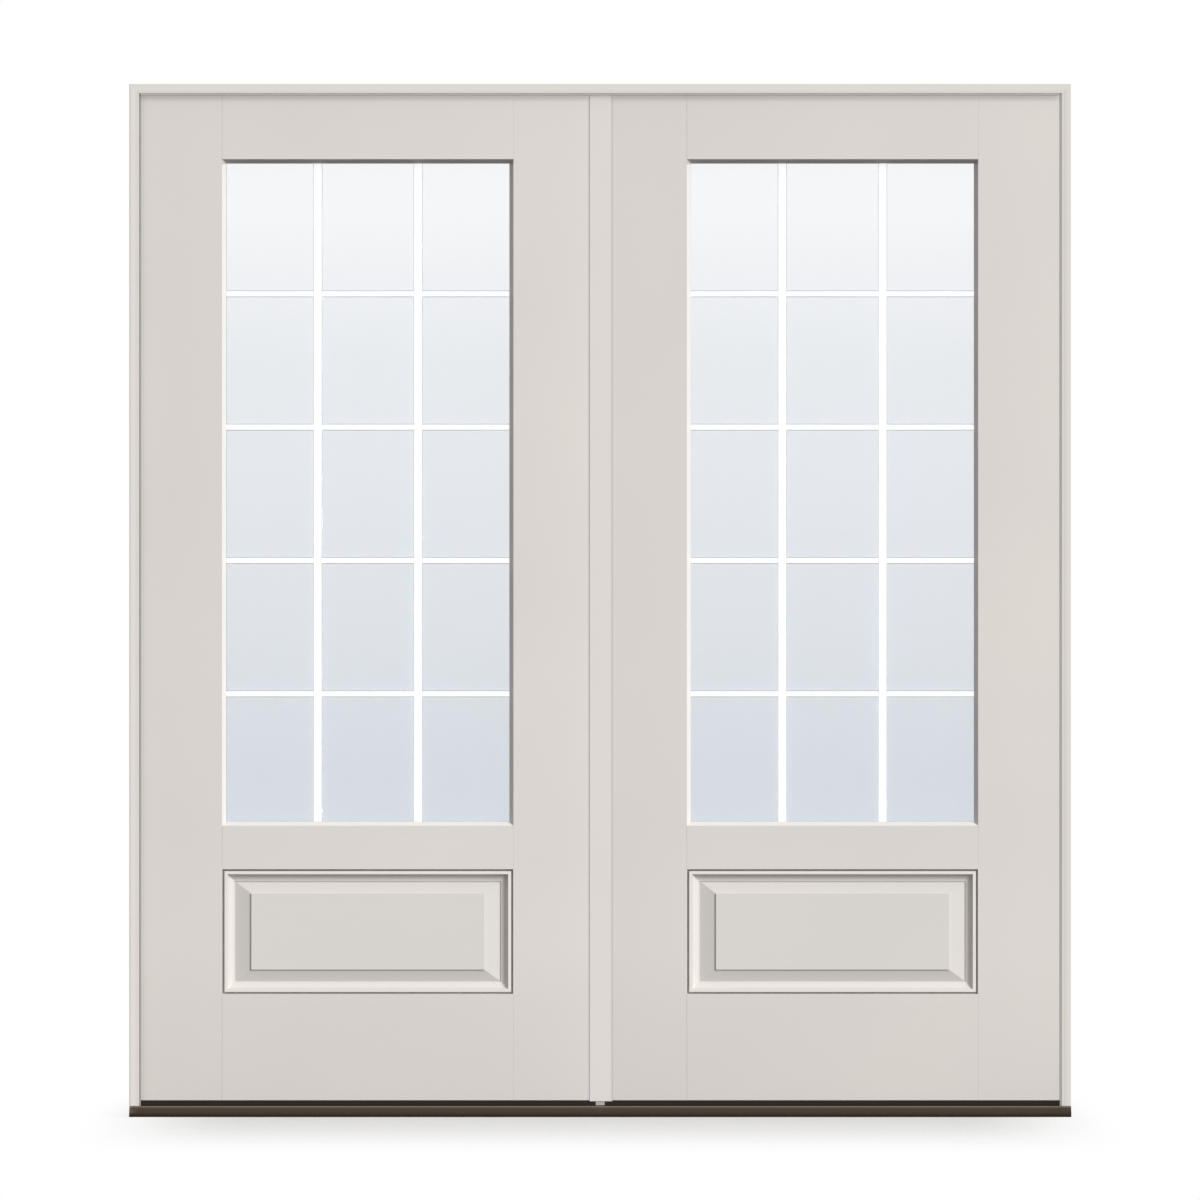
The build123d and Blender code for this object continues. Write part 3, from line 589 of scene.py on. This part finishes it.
# Floor: a pale grey pool under the doors that fades out in front and at the sides, a painted drop shadow.
# It takes their shadow and throws no light back on them.
def pale_floor(side_fade, front_fade, full):
    material, start = new_finish("pale_floor")
    place = start.node("TexCoord", {}, {}, "Object")
    across = start.node("SeparateXYZ", {}, {"Vector": place}, "X")
    along = start.node("SeparateXYZ", {}, {"Vector": place}, "Y")

    def fade(offset, limits):
        distance = start.node("Math", {"operation": "ABSOLUTE"}, {0: offset})
        return start.node("MapRange", {"clamp": True, "interpolation_type": "SMOOTHSTEP"}, {
            "Value": distance, "From Min": limits[0], "From Max": limits[1], "To Min": 1.0, "To Max": 0.0})

    cloud = start.node("TexNoise", {}, {"Vector": place, "Scale": 0.8, "Detail": 2.0})
    colour = soft_mix(start, cloud, (0.60, 0.60, 0.59, 1.0), (0.62, 0.62, 0.61, 1.0))
    # The pool is a painted drop shadow, darkest by the doors, on top of the shadow the floor takes.
    painted_shadow_pool = fade(across, side_fade) * fade(along, front_fade) * full
    cover(start, {"Base Color": colour, "Roughness": 0.8, "Alpha": painted_shadow_pool})
    return material


floor_mesh = bmesh.new()
floor_reach = 3.0
bmesh.ops.create_grid(floor_mesh, x_segments=1, y_segments=1, size=floor_reach)
floor_data = bpy.data.meshes.new("floor")
floor_mesh.to_mesh(floor_data)
floor_mesh.free()
floor_data.materials.append(pale_floor(side_fade=(0.70, 1.04), front_fade=(-0.4, 2.9), full=0.95))
floor = bpy.data.objects.new("floor", floor_data)
floor.visible_diffuse = False
bpy.context.scene.collection.objects.link(floor)


# Light: a white studio, brighter overhead than below, with a broad key from the upper right in front and
# a fill from behind, so that the inside has form too. The panes, the bars and the left jamb have lights
# of their own.
world = bpy.data.worlds.new("studio")
bpy.context.scene.world = world
world.use_nodes = True
world.node_tree.nodes.clear()
sky = Shade(world.node_tree)
way = sky.node("TexCoord", {}, {}, "Generated")
up = sky.node("SeparateXYZ", {}, {"Vector": way}, "Z")
lit = sky.node("MapRange", {"clamp": True}, {
    "Value": up, "From Min": -0.6, "From Max": 0.8, "To Min": 0.15, "To Max": 0.62})
seen = sky.node("LightPath", {}, {}, "Is Camera Ray")
strength = lit * (1 - seen) + seen
backdrop = sky.node("Background", {}, {"Color": (1.0, 1.0, 1.0, 1.0), "Strength": strength})
sky.node("OutputWorld", {}, {"Surface": backdrop})


def add_sun(name, azimuth, elevation, energy, softness):
    """A distant light, by the way it is seen from the doors: azimuth 0 in front, 90 on the right."""
    light = bpy.data.lights.new(name, "SUN")
    light.energy = energy
    light.angle = math.radians(softness)
    lamp = bpy.data.objects.new(name, light)
    around, above = math.radians(azimuth), math.radians(elevation)
    level = math.cos(above)
    towards = Vector((math.sin(around) * level, -math.cos(around) * level, math.sin(above)))
    lamp.rotation_mode = "QUATERNION"
    lamp.rotation_quaternion = towards.to_track_quat("Z", "Y")
    bpy.context.scene.collection.objects.link(lamp)
    return lamp


def let_past(lamp, *nodes):
    """Lets a light shine past some pieces, as if their shadows were filled from the side."""
    passed = bpy.data.collections.new(lamp.name + "_passes")
    for name in nodes:
        passed.objects.link(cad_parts[name])
    lamp.light_linking.blocker_collection = passed
    for member in passed.collection_objects:
        member.light_linking.link_state = "EXCLUDE"


right_lip = ("right_jamb", "right_weatherstrip")
head_lip = ("head_jamb", "head_weatherstrip")
key_azimuth = 43.6
key_elevation = 24.5
key_hard = add_sun("key_hard", key_azimuth, key_elevation, energy=2.35, softness=20)
key_soft = add_sun("key_soft", key_azimuth, key_elevation, energy=1.32, softness=28)
let_past(key_hard, *right_lip, *head_lip)
let_past(key_soft, *right_lip)


def shine_on(lamp, pieces, state):
    """Makes a light reach only some pieces, or all but those."""
    lit_by = bpy.data.collections.new(lamp.name + "_reach")
    for piece in pieces:
        lit_by.objects.link(piece)
    lamp.light_linking.receiver_collection = lit_by
    for member in lit_by.collection_objects:
        member.light_linking.link_state = state


# The panes and their bars have lights of their own, so that no bead throws a shadow on them.
panes = [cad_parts[side + name] for side in sides for name in ("_outer_pane", "_inner_pane")]
bars = [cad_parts[side + "_glass_grille"] for side in sides]
shine_on(key_hard, panes + bars, "EXCLUDE")
shine_on(key_soft, panes + bars, "EXCLUDE")
pane_light = add_sun("pane_light", azimuth=0, elevation=45, energy=2.9, softness=10)
shine_on(pane_light, panes, "INCLUDE")
let_past(pane_light, *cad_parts)

# The bars are lit from all round, so that they stay white on an open leaf.
for azimuth, energy in ((35, 1.45), (110, 1.6), (180, 1.4), (250, 1.6), (325, 1.45)):
    bar_light = add_sun(f"bar_light_{azimuth}", azimuth, elevation=0, energy=energy, softness=10)
    shine_on(bar_light, bars, "INCLUDE")
    let_past(bar_light, *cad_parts)

# The fill from behind spares the floor, and the one from the left reaches the left jamb alone.
fill = add_sun("fill", azimuth=200, elevation=30, energy=2.4, softness=40)
shine_on(fill, [floor], "EXCLUDE")
side_fill = add_sun("side_fill", azimuth=270, elevation=20, energy=0.8, softness=40)
shine_on(side_fill, [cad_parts["left_jamb"]], "INCLUDE")


# Camera: straight in front on a long lens, at the middle height of the picture.
picture_width = 2.396
camera_height = 1.0316
camera_side = -0.0004
camera_data = bpy.data.cameras.new("camera")
camera_data.lens = 600
camera_data.sensor_width = 36
camera = bpy.data.objects.new("camera", camera_data)
distance = picture_width * camera_data.lens / camera_data.sensor_width
camera_data.clip_end = 4 * distance
camera.location = (camera_side, jamb_low.y - distance, camera_height)
camera.rotation_euler = (math.radians(90), 0, 0)
bpy.context.scene.collection.objects.link(camera)
bpy.context.scene.camera = camera
bpy.context.scene.view_settings.view_transform = "Standard"
